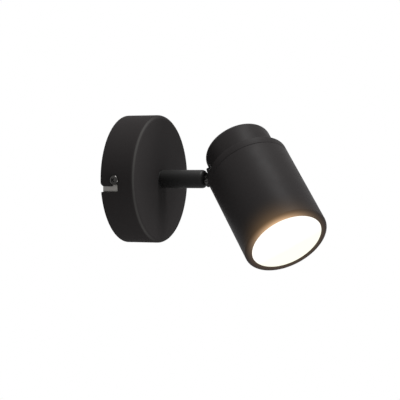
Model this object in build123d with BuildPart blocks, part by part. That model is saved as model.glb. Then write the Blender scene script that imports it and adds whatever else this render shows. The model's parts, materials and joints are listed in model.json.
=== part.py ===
from build123d import *
from math import asin, cos, degrees, radians, sin, sqrt
import os

# Wall spotlight: a round canopy on the wall, a short arm that swivels in it, and a
# cylindrical head that tilts on a small hinge at the arm's tip.
# Millimetres and degrees. +Z is up, the wall is the plane y = 0, the light points to -Y,
# and the origin is the centre of the canopy's back.

# Pose of the two joints in the modelled position
arm_swing = 31.0  # turn of the arm, from the head hanging straight down
head_tilt = 55.0  # angle between the arm and the way the lamp points

# Canopy
canopy_radius = 42.0
canopy_depth = 23.7
canopy_wall = 1.2
canopy_edge = 2.6  # outer rounding of the front edge
lock_offset = 0.55  # the side screws sit this far off the level, one below it and one above
entry_width = 3.5  # L-shaped slots that slip over the side screws, first along the wall's normal
lock_width = 4.4  # and then round the canopy
slot_reach = 12.0
slot_entry = 5.8  # from the entry's middle to the side screw
entry_wide_rounding = 2.9  # corner that guides the screw in
entry_small_rounding = 1.0

# Wall bracket
bracket_thickness = 1.2
bracket_width = 18.0
bracket_gap = 0.3  # from the bracket's corners to the canopy's inside
bracket_bend = 1.0
leg_length = 15.0
wall_slot_spacing = 56.0
wall_slot_width = 4.5
wall_slot_travel = 3.5
cable_hole_radius = 4.5
cable_hole_place = -5.5
earth_place = -16.0
earth_screw_radius = 1.75
earth_head_radius = 3.4
earth_head_height = 1.8
ring_thickness = 0.8
crimp_radius = 1.4
crimp_length = 4.5

# Side screws, M3 pan heads
side_screw_radius = 1.5
side_head_radius = 3.0
side_head_height = 2.2
side_head_rim = 0.7
side_screw_length = 7.0
recess_width = 0.9
recess_span = 3.4
recess_depth = 1.3

# Terminal block
block_place = 14.5
block_length = 16.0
block_height = 12.0
pole_pitch = 8.0
pole_count = 3
wire_hole_radius = 1.6
well_radius = 2.0
well_depth = 4.0
well_spread = 4.6  # from the block's middle to each row of screws
terminal_screw_radius = 1.7
terminal_screw_length = 3.2
peg_radius = 1.6

# Arm and its swivel
arm_radius = 6.0
arm_reach = 55.3  # wall to the arm's tip
arm_tip_rounding = 2.5
arm_foot_bevel = 0.5
arm_bore_radius = 3.0
arm_end_wall = 5.0
seat_washer_radius = 5.5
seat_washer_thickness = 0.4
nipple_radius = 4.0
nipple_bore_radius = 2.75
nipple_grip = 8.0
bush_wall = 0.6
bush_flange_radius = 7.0
bush_flange_thickness = 0.8
swivel_clearance = 0.05
swivel_gap = 0.2
stop_washer_radius = 6.4
stop_washer_thickness = 0.8
stop_tab_reach = 10.2
stop_tab_width = 2.4
stop_stud_radius = 1.0
stop_stud_place = 8.8
spring_washer_thickness = 1.0
swivel_nut_flats = 13.0
swivel_nut_height = 3.0
nipple_tail = 1.2

# Leads
lead_radius = 0.6
lead_pitch = 1.3
lead_offset = -1.2  # the pair lies off the arm's axis, away from the hinge
lead_exit_radius = 1.5
lead_break = 0.4  # free space where the leads pass a joint
lead_bend = 4.0
lead_tight_bend = 2.2
earth_lead_drop = 7.0  # how far the earth lead runs on before it turns to the block
earth_lead_turn = 10.0
earth_lead_tail = 8.0  # straight run into the block
live_lead_rise = 3.0

# Hinge
pivot_ahead = 2.2  # from the arm's tip to the pin
pivot_drop = 3.3  # from the arm's axis to the pin
pivot_rise = 5.1  # from the cap's side to the pin
pivot_back = 4.5  # from the head's shoulder to the pin
pin_radius = 1.0
pin_clearance = 0.05
knuckle_radius = 1.8
tongue_thickness = 1.6
tongue_root = 3.6
tongue_root_place = 2.4
tongue_sink = 4.5
tongue_foot = 0.4
ear_thickness = 0.9
ear_gap = 0.1
ear_clearance = 0.9  # from the arm's flat tip to the ears
ear_toe = 0.8  # the ears' far ends stand this much above the saddle
ear_toe_bevel = 0.5
saddle_thickness = 1.0
saddle_spread = 30.0  # degrees each side of the hinge
saddle_length = 7.4
saddle_tail = 5.9  # past the saddle only a strip under the ears goes on
saddle_start = 1.1
pin_head_radius = 1.75
pin_head_height = 1.0
pin_head_rounding = 0.3
pin_slot_angle = 20.0
pin_slot_width = 0.5
pin_slot_depth = 0.5
pin_tail = 0.3
rivet_radius = 0.8
rivet_head_radius = 1.2
rivet_head_height = 0.8
rivet_angle = 25.0
rivet_back = 5.5
rivet_tail_height = 0.5
rivet_tail_gap = 0.05
lead_entry_back = 8.5
lead_entry_radius = 1.5

# Head
head_length = 66.2  # shoulder to front rim
head_wall = 1.5
front_rounding = 2.5
front_lip = 0.8  # thickness of the rim that holds the lamp's lens
front_inner_rounding = 1.0
rim_bevel = 0.25
band_length = 4.0
band_chamfer = 0.3
cover_plate = 2.5
cover_spigot = 4.0
cover_opening = 14.0
cap_radius = 22.5
cap_length = 19.6
cap_wall = 1.5
cap_edge = 3.8
boss_radius = 2.8
boss_depth = 12.0
boss_count = 3
cover_screw_radius = 1.5
cover_screw_head = 2.7
cover_screw_head_height = 1.9
cover_screw_length = 8.0

# Lamp and the spring ring that centres it
lamp_radius = 25.0
lamp_fit = 0.1
lip_overlap = 1.7  # how far the rim reaches over the lamp
ring_length = 7.0
ring_wall = 0.9
lamp_wall = 1.6
lamp_collar = 9.0
lamp_neck_radius = 14.0
lamp_base_radius = 12.0
lamp_base_length = 6.0
lens_thickness = 1.6
lens_crown = 0.4
lens_crown_inset = 0.3
lens_rim = 0.9
collar_step = 0.6
collar_ramp = 0.8
collar_neck = 4.0
fin_count = 18
fin_width = 1.4
fin_root = 0.5  # how far a fin is sunk in the housing
fin_start = 2.0
fin_foot_height = 2.4
fin_inset = 0.4
fin_shoulder = 8.0
fin_end = 3.8
fin_sink = 1.4
fin_sink_back = 5.5
lamp_pin_spacing = 10.0
lamp_pin_radius = 1.5
lamp_pin_head_radius = 2.4
lamp_pin_head_height = 1.6
lamp_pin_length = 6.0

# Lamp holder
strap_thickness = 1.0
strap_width = 12.0
strap_overhang = 3.0
strap_screw_place = 19.5
strap_screw_radius = 1.5
strap_screw_head = 2.7
strap_screw_head_height = 1.8
holder_radius = 13.5
holder_height = 12.0
holder_pocket_radius = 3.0
contact_thickness = 1.6
contact_stem_radius = 0.7
lead_hole_radius = 1.4

# Sizes that follow from the lamp
head_radius = lamp_radius + lamp_fit + ring_wall + head_wall
lens_opening_radius = lamp_radius - lip_overlap

# Frames. In each, z runs along the piece's axis.
forward = Vector(0, -1, 0)
hang = Vector(-sin(radians(arm_swing)), 0, -cos(radians(arm_swing)))
wall = Plane(origin=(0, 0, 0), x_dir=(1, 0, 0), z_dir=forward)
plumb = Plane(origin=(0, 0, 0), x_dir=(0, 0, -1), z_dir=forward)
arm = Plane(origin=(0, 0, 0), x_dir=hang, z_dir=forward)
lamp_way = forward * cos(radians(head_tilt)) + hang * sin(radians(head_tilt))
hinge_way = hang * cos(radians(head_tilt)) - forward * sin(radians(head_tilt))
pivot = forward * (arm_reach + pivot_ahead) + hang * pivot_drop
pivot_radius = cap_radius + pivot_rise
head_origin = pivot - hinge_way * pivot_radius + lamp_way * pivot_back
head = Plane(origin=head_origin, x_dir=hinge_way, z_dir=lamp_way)
pin = Plane(origin=pivot, x_dir=hinge_way, z_dir=head.y_dir)


def section(frame):
    """Plane through a frame's axis: its x is the radius and its y runs along the axis."""
    return Plane(origin=frame.origin, x_dir=frame.x_dir, z_dir=-frame.y_dir)


def axis_of(frame):
    return Axis(frame.origin, frame.z_dir)


def spot(frame, x, y, z):
    """A frame standing on a point of another frame, turned the same way."""
    return Plane(origin=frame.from_local_coords(Vector(x, y, z)), x_dir=frame.x_dir, z_dir=frame.z_dir)


def spoke(frame, angle, z):
    """A frame that looks outwards from an axis at an angle around it."""
    out = frame.x_dir * cos(radians(angle)) + frame.y_dir * sin(radians(angle))
    return Plane(origin=frame.origin + frame.z_dir * z, x_dir=frame.z_dir, z_dir=out)


def lock_side(hand):
    """Seen from outside at a side screw: x runs to the slot's entry, y runs off the wall."""
    return Plane(origin=wall.y_dir * hand * lock_offset, x_dir=wall.y_dir * hand, z_dir=wall.x_dir * hand)


def turned(frame, angle):
    """The same axis, with x turned round it by an angle."""
    out = frame.x_dir * cos(radians(angle)) + frame.y_dir * sin(radians(angle))
    return Plane(origin=frame.origin, x_dir=out, z_dir=frame.z_dir)


def dome_middle(radius, base, height):
    """Middle of the arc from a dome's rim to its top, in the plane of its radius and axis."""
    sphere = (radius ** 2 + height ** 2) / (2 * height)
    half = asin(radius / sphere) / 2
    return sphere * sin(half), base + height - sphere + sphere * cos(half)


os.makedirs("parts", exist_ok=True)
finished = []


def finish(builder, name):
    builder.part.label = name
    finished.append(builder.part)
    export_step(builder.part, f"parts/{name}.step")


# ---------------------------------------------------------------- canopy and wall bracket
canopy_inner = canopy_radius - canopy_wall
front_inside = canopy_depth - canopy_wall
lock_depth = slot_reach - lock_width / 2
hole_radius = nipple_radius + swivel_clearance + bush_wall

with BuildPart() as canopy:
    with BuildSketch(section(arm)) as canopy_profile:
        with BuildLine():
            Polyline((hole_radius, canopy_depth), (canopy_radius, canopy_depth), (canopy_radius, 0),
                     (canopy_inner, 0), (canopy_inner, front_inside), (hole_radius, front_inside),
                     close=True)
        make_face()
        fillet(canopy_profile.vertices().sort_by(Axis.X)[-2:].sort_by(Axis.Y)[-1], canopy_edge)
        inner_corner = canopy_profile.vertices().sort_by_distance((canopy_inner, front_inside))[0]
        fillet(inner_corner, canopy_edge - canopy_wall)
    revolve(axis=axis_of(arm))
    for hand in (-1, 1):
        entry_near = slot_entry - entry_width / 2
        entry_far = slot_entry + entry_width / 2
        with BuildSketch(lock_side(hand).offset(canopy_radius / 2)):
            with BuildLine():
                Line((entry_near - entry_wide_rounding, -1), (entry_near - entry_wide_rounding, 0))
                RadiusArc((entry_near - entry_wide_rounding, 0), (entry_near, entry_wide_rounding),
                          -entry_wide_rounding)
                Polyline((entry_near, entry_wide_rounding), (entry_near, slot_reach - lock_width),
                         (0, slot_reach - lock_width), (0, slot_reach), (entry_far, slot_reach),
                         (entry_far, entry_small_rounding))
                RadiusArc((entry_far, entry_small_rounding), (entry_far + entry_small_rounding, 0),
                          -entry_small_rounding)
                Polyline((entry_far + entry_small_rounding, 0), (entry_far + entry_small_rounding, -1),
                         (entry_near - entry_wide_rounding, -1))
            make_face()
            with Locations((0, lock_depth)):
                Circle(lock_width / 2)
        extrude(amount=canopy_radius, mode=Mode.SUBTRACT)
finish(canopy, "canopy")

leg_place = sqrt((canopy_inner - bracket_gap) ** 2 - (bracket_width / 2) ** 2)
block_foot = bracket_thickness

with BuildPart() as wall_bracket:
    with BuildSketch(section(wall)):
        with BuildLine():
            mid = leg_place - bracket_thickness / 2
            FilletPolyline((-mid, leg_length), (-mid, bracket_thickness / 2), (mid, bracket_thickness / 2),
                           (mid, leg_length), radius=bracket_bend)
        trace(line_width=bracket_thickness)
    extrude(amount=bracket_width / 2, both=True)
    with BuildSketch(wall):
        with Locations((-wall_slot_spacing / 2, 0), (wall_slot_spacing / 2, 0)):
            SlotCenterToCenter(wall_slot_travel, wall_slot_width)
        with Locations((cable_hole_place, 0)):
            Circle(cable_hole_radius)
        with Locations((earth_place, 0)):
            Circle(earth_screw_radius)
        with Locations((block_place, 0)):
            Circle(peg_radius)
    extrude(amount=bracket_thickness, mode=Mode.SUBTRACT)
    for hand in (-1, 1):
        with BuildSketch(lock_side(hand)):
            with Locations((0, lock_depth)):
                Circle(side_screw_radius)
        extrude(amount=canopy_radius, mode=Mode.SUBTRACT)
finish(wall_bracket, "wall_bracket")

with BuildPart() as canopy_screws:
    for hand in (-1, 1):
        seat = spot(lock_side(hand), 0, lock_depth, canopy_radius)
        with BuildSketch(section(seat)):
            with BuildLine():
                Line((0, -side_screw_length), (side_screw_radius, -side_screw_length))
                Line((side_screw_radius, -side_screw_length), (side_screw_radius, 0))
                Line((side_screw_radius, 0), (side_head_radius, 0))
                Line((side_head_radius, 0), (side_head_radius, side_head_rim))
                ThreePointArc((side_head_radius, side_head_rim),
                              dome_middle(side_head_radius, side_head_rim, side_head_height - side_head_rim),
                              (0, side_head_height))
                Line((0, side_head_height), (0, -side_screw_length))
            make_face()
        revolve(axis=axis_of(seat))
        with BuildSketch(seat.offset(side_head_height - recess_depth)):
            with Locations(Location((0, 0, 0), (0, 0, 45))):
                Rectangle(recess_span, recess_width)
                Rectangle(recess_width, recess_span)
        extrude(amount=recess_depth, taper=-12, mode=Mode.SUBTRACT)
finish(canopy_screws, "canopy_screws")

# ---------------------------------------------------------------- mains connection
block_width = pole_pitch * pole_count
block_top = block_foot + block_height
wire_level = block_foot + block_height * 0.4
poles = [(index - (pole_count - 1) / 2) * pole_pitch for index in range(pole_count)]

with BuildPart() as terminal_block:
    with BuildSketch(wall.offset(block_foot)):
        with Locations((block_place, 0)):
            RectangleRounded(block_length, block_width, 0.8)
    extrude(amount=block_height)
    with BuildSketch(wall):
        with Locations((block_place, 0)):
            Circle(peg_radius)
    extrude(amount=block_foot)
    with BuildSketch(wall.offset(block_top)):
        for pole in poles:
            with Locations((block_place - well_spread, pole), (block_place + well_spread, pole)):
                Circle(well_radius)
    extrude(amount=-well_depth, mode=Mode.SUBTRACT)
    with BuildSketch(Plane(origin=wall.from_local_coords(Vector(block_place, 0, wire_level)),
                           x_dir=wall.y_dir, z_dir=wall.x_dir)):
        with Locations(*[(pole, 0) for pole in poles]):
            Circle(wire_hole_radius)
    extrude(amount=block_length / 2, both=True, mode=Mode.SUBTRACT)
    with BuildSketch(wall.offset(block_top)):
        for edge in range(1, pole_count):
            with Locations((block_place, edge * pole_pitch - block_width / 2)):
                Rectangle(block_length, 1.0)
    extrude(amount=-well_depth / 2, mode=Mode.SUBTRACT)
finish(terminal_block, "terminal_block")

with BuildPart() as terminal_screws:
    for pole in poles:
        for spread in (-well_spread, well_spread):
            seat = spot(wall, block_place + spread, pole, block_top - well_depth)
            with BuildSketch(seat):
                Circle(terminal_screw_radius)
            extrude(amount=terminal_screw_length)
            with BuildSketch(seat.offset(terminal_screw_length)):
                Rectangle(2 * terminal_screw_radius, 0.7)
            extrude(amount=-0.9, mode=Mode.SUBTRACT)
finish(terminal_screws, "terminal_screws")

ring_top = bracket_thickness + ring_thickness
with BuildPart() as earth_ring:
    with BuildSketch(wall.offset(bracket_thickness)):
        with Locations((earth_place, 0)):
            Circle(earth_head_radius)
            Circle(earth_screw_radius, mode=Mode.SUBTRACT)
        with Locations((earth_place, -earth_head_radius)):
            Rectangle(crimp_radius * 1.6, 2.4)
        with Locations((earth_place, 0)):
            Circle(earth_screw_radius, mode=Mode.SUBTRACT)
    extrude(amount=ring_thickness)
    crimp = Plane(origin=wall.from_local_coords(Vector(earth_place, -earth_head_radius - 1.0,
                                                       bracket_thickness + crimp_radius)),
                  x_dir=wall.x_dir, z_dir=-wall.y_dir)
    with BuildSketch(crimp):
        Circle(crimp_radius)
        Circle(lead_radius, mode=Mode.SUBTRACT)
    extrude(amount=crimp_length)
finish(earth_ring, "earth_ring")

with BuildPart() as earth_screw:
    seat = spot(wall, earth_place, 0, ring_top)
    with BuildSketch(section(seat)):
        with BuildLine():
            Polyline((0, -ring_top), (earth_screw_radius, -ring_top), (earth_screw_radius, 0),
                     (earth_head_radius, 0), (earth_head_radius, earth_head_height * 0.5),
                     (earth_head_radius * 0.6, earth_head_height), (0, earth_head_height), close=True)
        make_face()
    revolve(axis=axis_of(seat))
    with BuildSketch(seat.offset(earth_head_height)):
        Rectangle(recess_span, recess_width)
        Rectangle(recess_width, recess_span)
    extrude(amount=-recess_depth, mode=Mode.SUBTRACT)
finish(earth_screw, "earth_screw")

# Leads on the wall side. They end a little short of the leads that turn with the arm.
swivel_stack = bush_flange_thickness + swivel_gap + stop_washer_thickness + spring_washer_thickness
nut_top = front_inside - swivel_stack
nipple_end = nut_top - swivel_nut_height - nipple_tail
block_face = block_place - block_length / 2


def arm_lead_place(hand, z):
    """Where a lead of the pair lies in the arm, in the wall's frame."""
    return wall.to_local_coords(arm.from_local_coords(Vector(lead_offset + hand * lead_pitch / 2, 0, z)))


def lead(points, bends, frame, name):
    """A round lead along straight runs joined by tangent arcs."""
    with BuildPart() as wire:
        with BuildLine() as route:
            FilletPolyline(*[frame.from_local_coords(Vector(*point)) for point in points], radius=bends)
        with BuildSketch(Plane(origin=route.line @ 0, z_dir=route.line % 0)):
            Circle(lead_radius)
        sweep()
    finish(wire, name)


live_top = arm_lead_place(-1, nipple_end - lead_break)
live_turn = arm_lead_place(-1, wire_level + live_lead_rise)
lead([(block_face, poles[2], wire_level), (live_turn.X + 1.0, poles[2], wire_level), tuple(live_turn),
      tuple(live_top)], [lead_tight_bend, lead_tight_bend], wall, "live_lead")

neutral_top = arm_lead_place(1, nipple_end - lead_break)
neutral_turn = arm_lead_place(1, wire_level)
lead([(block_face, poles[1], wire_level), tuple(neutral_turn), tuple(neutral_top)], [lead_tight_bend], wall,
     "neutral_lead")

crimp_end = -earth_head_radius - 1.0 - crimp_length
crimp_level = bracket_thickness + crimp_radius
earth_turn = crimp_end - earth_lead_drop
lead([(earth_place, crimp_end + crimp_length / 2, crimp_level), (earth_place, earth_turn, crimp_level),
      (earth_place + earth_lead_turn, earth_turn, wire_level),
      (block_face - earth_lead_tail, poles[0], wire_level), (block_face, poles[0], wire_level)],
     [lead_bend, lead_bend, lead_bend], wall, "earth_lead")

# ---------------------------------------------------------------- swivel and arm
with BuildPart() as swivel_bush:
    with BuildSketch(section(arm)):
        with BuildLine():
            bore = nipple_radius + swivel_clearance
            Polyline((bore, canopy_depth), (hole_radius, canopy_depth), (hole_radius, front_inside),
                     (bush_flange_radius, front_inside),
                     (bush_flange_radius, front_inside - bush_flange_thickness),
                     (bore, front_inside - bush_flange_thickness), close=True)
        make_face()
    revolve(axis=axis_of(arm))
finish(swivel_bush, "swivel_bush")

tab_level = front_inside - bush_flange_thickness - swivel_gap
with BuildPart() as stop_stud:
    with BuildSketch(plumb.offset(tab_level - stop_washer_thickness)):
        with Locations((-stop_stud_place, 0)):
            Circle(stop_stud_radius)
    extrude(amount=front_inside - tab_level + stop_washer_thickness)
finish(stop_stud, "stop_stud")

arm_foot = canopy_depth + seat_washer_thickness
with BuildPart() as seat_washer:
    with BuildSketch(arm.offset(canopy_depth)):
        Circle(seat_washer_radius)
        Circle(nipple_radius + swivel_clearance, mode=Mode.SUBTRACT)
    extrude(amount=seat_washer_thickness)
finish(seat_washer, "seat_washer")

with BuildPart() as arm_nipple:
    with BuildSketch(arm.offset(nipple_end)):
        Circle(nipple_radius)
        Circle(nipple_bore_radius, mode=Mode.SUBTRACT)
    extrude(amount=arm_foot + nipple_grip - nipple_end)
    chamfer(arm_nipple.edges().filter_by(GeomType.CIRCLE).sort_by(SortBy.RADIUS)[-2:], 0.4)
finish(arm_nipple, "arm_nipple")

with BuildPart() as stop_washer:
    with BuildSketch(arm.offset(tab_level)):
        Circle(stop_washer_radius)
        with Locations((stop_tab_reach / 2, 0)):
            Rectangle(stop_tab_reach, stop_tab_width)
        Circle(nipple_radius, mode=Mode.SUBTRACT)
    extrude(amount=-stop_washer_thickness)
finish(stop_washer, "stop_washer")

with BuildPart() as spring_washer:
    with BuildSketch(section(arm)):
        with BuildLine():
            low = nut_top
            rim = spring_washer_thickness * 0.4
            Polyline((nipple_radius, low), (stop_washer_radius, low + spring_washer_thickness - rim),
                     (stop_washer_radius, low + spring_washer_thickness), (nipple_radius, low + rim),
                     close=True)
        make_face()
    revolve(axis=axis_of(arm))
finish(spring_washer, "spring_washer")

with BuildPart() as swivel_nut:
    with BuildSketch(arm.offset(nut_top)):
        RegularPolygon(swivel_nut_flats / 2, 6, major_radius=False)
        Circle(nipple_radius, mode=Mode.SUBTRACT)
    extrude(amount=-swivel_nut_height)
finish(swivel_nut, "swivel_nut")

with BuildPart() as arm_tube:
    with BuildSketch(section(arm)) as arm_profile:
        with BuildLine():
            thread_end = arm_foot + nipple_grip
            bore_end = arm_reach - arm_end_wall
            Polyline((nipple_radius, arm_foot), (arm_radius, arm_foot), (arm_radius, arm_reach),
                     (0, arm_reach), (0, bore_end), (arm_bore_radius, bore_end),
                     (arm_bore_radius, thread_end), (nipple_radius, thread_end), close=True)
        make_face()
        corner = arm_profile.vertices().sort_by_distance((arm_radius, arm_reach))[0]
        fillet(corner, arm_tip_rounding)
        foot = arm_profile.vertices().sort_by_distance((arm_radius, arm_foot))[0]
        chamfer(foot, arm_foot_bevel)
    revolve(axis=axis_of(arm))
    with BuildSketch(arm.offset(arm_reach)):
        with Locations((lead_offset, 0)):
            Circle(lead_exit_radius)
    extrude(amount=-arm_end_wall, mode=Mode.SUBTRACT)
    with BuildSketch(arm.offset(arm_reach)):
        with Locations((tongue_root_place, 0)):
            Rectangle(tongue_root, tongue_thickness)
    extrude(amount=-tongue_sink, mode=Mode.SUBTRACT)
finish(arm_tube, "arm_tube")

with BuildPart() as hinge_tongue:
    with BuildSketch(section(arm)):
        with Locations((tongue_root_place, arm_reach + tongue_foot / 2)):
            Rectangle(tongue_root, tongue_foot)
        with Locations((pivot_drop, arm_reach + pivot_ahead)):
            Circle(knuckle_radius)
        make_hull()
        with Locations((tongue_root_place, arm_reach - tongue_sink / 2)):
            Rectangle(tongue_root, tongue_sink)
        with Locations((pivot_drop, arm_reach + pivot_ahead)):
            Circle(pin_radius + pin_clearance, mode=Mode.SUBTRACT)
    extrude(amount=tongue_thickness / 2, both=True)
finish(hinge_tongue, "hinge_tongue")

with BuildPart() as arm_leads:
    with BuildSketch(arm.offset(nipple_end)):
        with Locations((lead_offset - lead_pitch / 2, 0), (lead_offset + lead_pitch / 2, 0)):
            Circle(lead_radius)
    extrude(amount=arm_reach - nipple_end)
finish(arm_leads, "arm_leads")

# ---------------------------------------------------------------- hinge on the head
ear_inside = tongue_thickness / 2 + ear_gap
ear_outside = ear_inside + ear_thickness
saddle_radius = cap_radius + saddle_thickness
saddle_end = saddle_start + saddle_length
strip_end = saddle_end + saddle_tail
toe_radius = saddle_radius + ear_toe
heel = head.to_local_coords(arm.from_local_coords(Vector(arm_tip_rounding - arm_radius, 0,
                                                         arm_reach + ear_clearance)))

with BuildPart() as hinge_bracket:
    with BuildSketch(head.offset(-saddle_end)):
        Circle(saddle_radius)
        with BuildLine():
            reach = 2 * saddle_radius
            side = reach * sin(radians(saddle_spread))
            Polyline((0, 0), (reach * cos(radians(saddle_spread)), -side), (reach, -side), (reach, side),
                     (reach * cos(radians(saddle_spread)), side), close=True)
        make_face(mode=Mode.INTERSECT)
    extrude(amount=saddle_length)
    with BuildSketch(head.offset(-strip_end)):
        Circle(saddle_radius)
        with Locations((saddle_radius, 0)):
            Rectangle(saddle_radius, 2 * ear_outside, mode=Mode.INTERSECT)
    extrude(amount=saddle_tail)
    for hand in (-1, 1):
        with BuildSketch(section(head).offset(hand * (ear_inside + ear_thickness / 2))):
            with Locations((pivot_radius, -pivot_back)):
                Circle(knuckle_radius)
            with BuildLine():
                Polyline((cap_radius - 1, heel.Z), (heel.X, heel.Z), (cap_radius - 1, -saddle_start),
                         close=True)
            make_face()
            make_hull()
            with BuildLine():
                Polyline((cap_radius - 1, -strip_end), (toe_radius - ear_toe_bevel, -strip_end),
                         (toe_radius, ear_toe_bevel - strip_end), (heel.X, heel.Z), (cap_radius - 1, heel.Z),
                         close=True)
            make_face()
        extrude(amount=ear_thickness / 2, both=True)
    with BuildSketch(head):
        Circle(cap_radius)
    extrude(amount=-cap_length, mode=Mode.SUBTRACT)
    with BuildSketch(pin):
        Circle(pin_radius)
    extrude(amount=cap_radius, mode=Mode.SUBTRACT)
    with BuildSketch(pin):
        Circle(pin_radius + pin_clearance)
    extrude(amount=-cap_radius, mode=Mode.SUBTRACT)
    with BuildSketch(spoke(head, 0, -lead_entry_back)):
        SlotOverall(2 * lead_entry_radius, 2 * ear_inside)
    extrude(amount=pivot_radius, mode=Mode.SUBTRACT)
    for angle in (-rivet_angle, rivet_angle):
        with BuildSketch(spoke(head, angle, -rivet_back)):
            Circle(rivet_radius)
        extrude(amount=saddle_radius + 1, mode=Mode.SUBTRACT)
finish(hinge_bracket, "hinge_bracket")

cap_inner = cap_radius - cap_wall
with BuildPart() as hinge_rivets:
    for angle in (-rivet_angle, rivet_angle):
        seat = spoke(head, angle, -rivet_back)
        with BuildSketch(section(seat)):
            with BuildLine():
                tail = cap_inner - rivet_tail_height
                upset = cap_inner - rivet_tail_gap
                Polyline((0, tail), (rivet_head_radius, tail), (rivet_head_radius, upset),
                         (rivet_radius, upset), (rivet_radius, saddle_radius),
                         (rivet_head_radius, saddle_radius))
                ThreePointArc((rivet_head_radius, saddle_radius),
                              dome_middle(rivet_head_radius, saddle_radius, rivet_head_height),
                              (0, saddle_radius + rivet_head_height))
                Line((0, saddle_radius + rivet_head_height), (0, tail))
            make_face()
        revolve(axis=axis_of(seat))
finish(hinge_rivets, "hinge_rivets")

pin_far = ear_outside + pin_tail
pin_head_top = -ear_outside - pin_head_height
with BuildPart() as pivot_screw:
    with BuildSketch(section(pin)) as pin_profile:
        with BuildLine():
            Polyline((0, pin_head_top), (pin_head_radius, pin_head_top), (pin_head_radius, -ear_outside),
                     (pin_radius, -ear_outside), (pin_radius, pin_far), (0, pin_far), close=True)
        make_face()
        head_corner = pin_profile.vertices().sort_by_distance((pin_head_radius, pin_head_top))[0]
        fillet(head_corner, pin_head_rounding)
    revolve(axis=axis_of(pin))
    with BuildSketch(pin.offset(pin_head_top)):
        Rectangle(2 * pin_head_radius, pin_slot_width, rotation=pin_slot_angle)
    extrude(amount=pin_slot_depth, mode=Mode.SUBTRACT)
finish(pivot_screw, "pivot_screw")

# ---------------------------------------------------------------- head shells
boss_place = cap_inner - boss_radius
boss_angles = [180 + 360 * index / boss_count for index in range(boss_count)]

with BuildPart() as rear_cap:
    with BuildSketch(section(head)) as cap_profile:
        with BuildLine():
            Polyline((cap_radius, 0), (cap_radius, -cap_length), (0, -cap_length),
                     (0, cap_wall - cap_length), (cap_inner, cap_wall - cap_length), (cap_inner, 0),
                     close=True)
        make_face()
        fillet(cap_profile.vertices().sort_by_distance((cap_radius, -cap_length))[0], cap_edge)
        inner_corner = cap_profile.vertices().sort_by_distance((cap_inner, cap_wall - cap_length))[0]
        fillet(inner_corner, cap_edge - cap_wall)
    revolve(axis=axis_of(head))
    with BuildSketch(head):
        for angle in boss_angles:
            with Locations((boss_place * cos(radians(angle)), boss_place * sin(radians(angle)))):
                Circle(boss_radius + 0.2)
    extrude(amount=-boss_depth)
    with BuildSketch(head):
        for angle in boss_angles:
            with Locations((boss_place * cos(radians(angle)), boss_place * sin(radians(angle)))):
                Circle(cover_screw_radius)
    extrude(amount=-cover_screw_length, mode=Mode.SUBTRACT)
    with BuildSketch(spoke(head, 0, -lead_entry_back)):
        Circle(lead_entry_radius)
    extrude(amount=saddle_radius, mode=Mode.SUBTRACT)
    for angle in (-rivet_angle, rivet_angle):
        with BuildSketch(spoke(head, angle, -rivet_back)):
            Circle(rivet_radius)
        extrude(amount=saddle_radius, mode=Mode.SUBTRACT)
finish(rear_cap, "rear_cap")

body_inner = head_radius - head_wall
with BuildPart() as rear_cover:
    with BuildSketch(section(head)) as cover_profile:
        with BuildLine():
            Polyline((cover_opening, 0), (head_radius, 0), (head_radius, band_length),
                     (body_inner, band_length), (body_inner, band_length + cover_spigot),
                     (body_inner - head_wall, band_length + cover_spigot),
                     (body_inner - head_wall, cover_plate), (cover_opening, cover_plate), close=True)
        make_face()
        for level in (0, band_length):
            chamfer(cover_profile.vertices().sort_by_distance((head_radius, level))[0], band_chamfer)
    revolve(axis=axis_of(head))
    with BuildSketch(head):
        for angle in boss_angles:
            with Locations((boss_place * cos(radians(angle)), boss_place * sin(radians(angle)))):
                Circle(cover_screw_radius)
        with Locations((0, -strap_screw_place), (0, strap_screw_place)):
            Circle(strap_screw_radius)
    extrude(amount=cover_plate, mode=Mode.SUBTRACT)
finish(rear_cover, "rear_cover")

with BuildPart() as cover_screws:
    for angle in boss_angles:
        seat = spot(head, boss_place * cos(radians(angle)), boss_place * sin(radians(angle)), cover_plate)
        with BuildSketch(seat):
            Circle(cover_screw_head)
        extrude(amount=cover_screw_head_height, taper=15)
        with BuildSketch(seat):
            Circle(cover_screw_radius)
        extrude(amount=-(cover_plate + cover_screw_length - 0.5))
        with BuildSketch(seat.offset(cover_screw_head_height)):
            Rectangle(recess_span - 0.4, recess_width)
            Rectangle(recess_width, recess_span - 0.4)
        extrude(amount=-recess_depth, mode=Mode.SUBTRACT)
finish(cover_screws, "cover_screws")

lip_back = head_length - front_lip
with BuildPart() as head_body:
    with BuildSketch(section(head)) as body_profile:
        with BuildLine():
            Polyline((body_inner, band_length), (head_radius, band_length), (head_radius, head_length),
                     (lens_opening_radius, head_length), (lens_opening_radius, lip_back),
                     (body_inner, lip_back), close=True)
        make_face()
        fillet(body_profile.vertices().sort_by_distance((head_radius, head_length))[0], front_rounding)
        fillet(body_profile.vertices().sort_by_distance((body_inner, lip_back))[0], front_inner_rounding)
        chamfer(body_profile.vertices().sort_by_distance((lens_opening_radius, head_length))[0], rim_bevel)
        chamfer(body_profile.vertices().sort_by_distance((head_radius, band_length))[0], band_chamfer)
    revolve(axis=axis_of(head))
finish(head_body, "head_body")

ring_front = lip_back - front_inner_rounding
with BuildPart() as lamp_ring:
    with BuildSketch(head.offset(ring_front - ring_length)):
        Circle(body_inner)
        Circle(body_inner - ring_wall, mode=Mode.SUBTRACT)
    extrude(amount=ring_length)
finish(lamp_ring, "lamp_ring")

# ---------------------------------------------------------------- lamp and lamp holder
strap_top = cover_plate + strap_thickness
holder_top = strap_top + holder_height
lamp_front = lip_back
collar_back = lamp_front - lamp_collar
neck_back = holder_top + lamp_base_length

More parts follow.
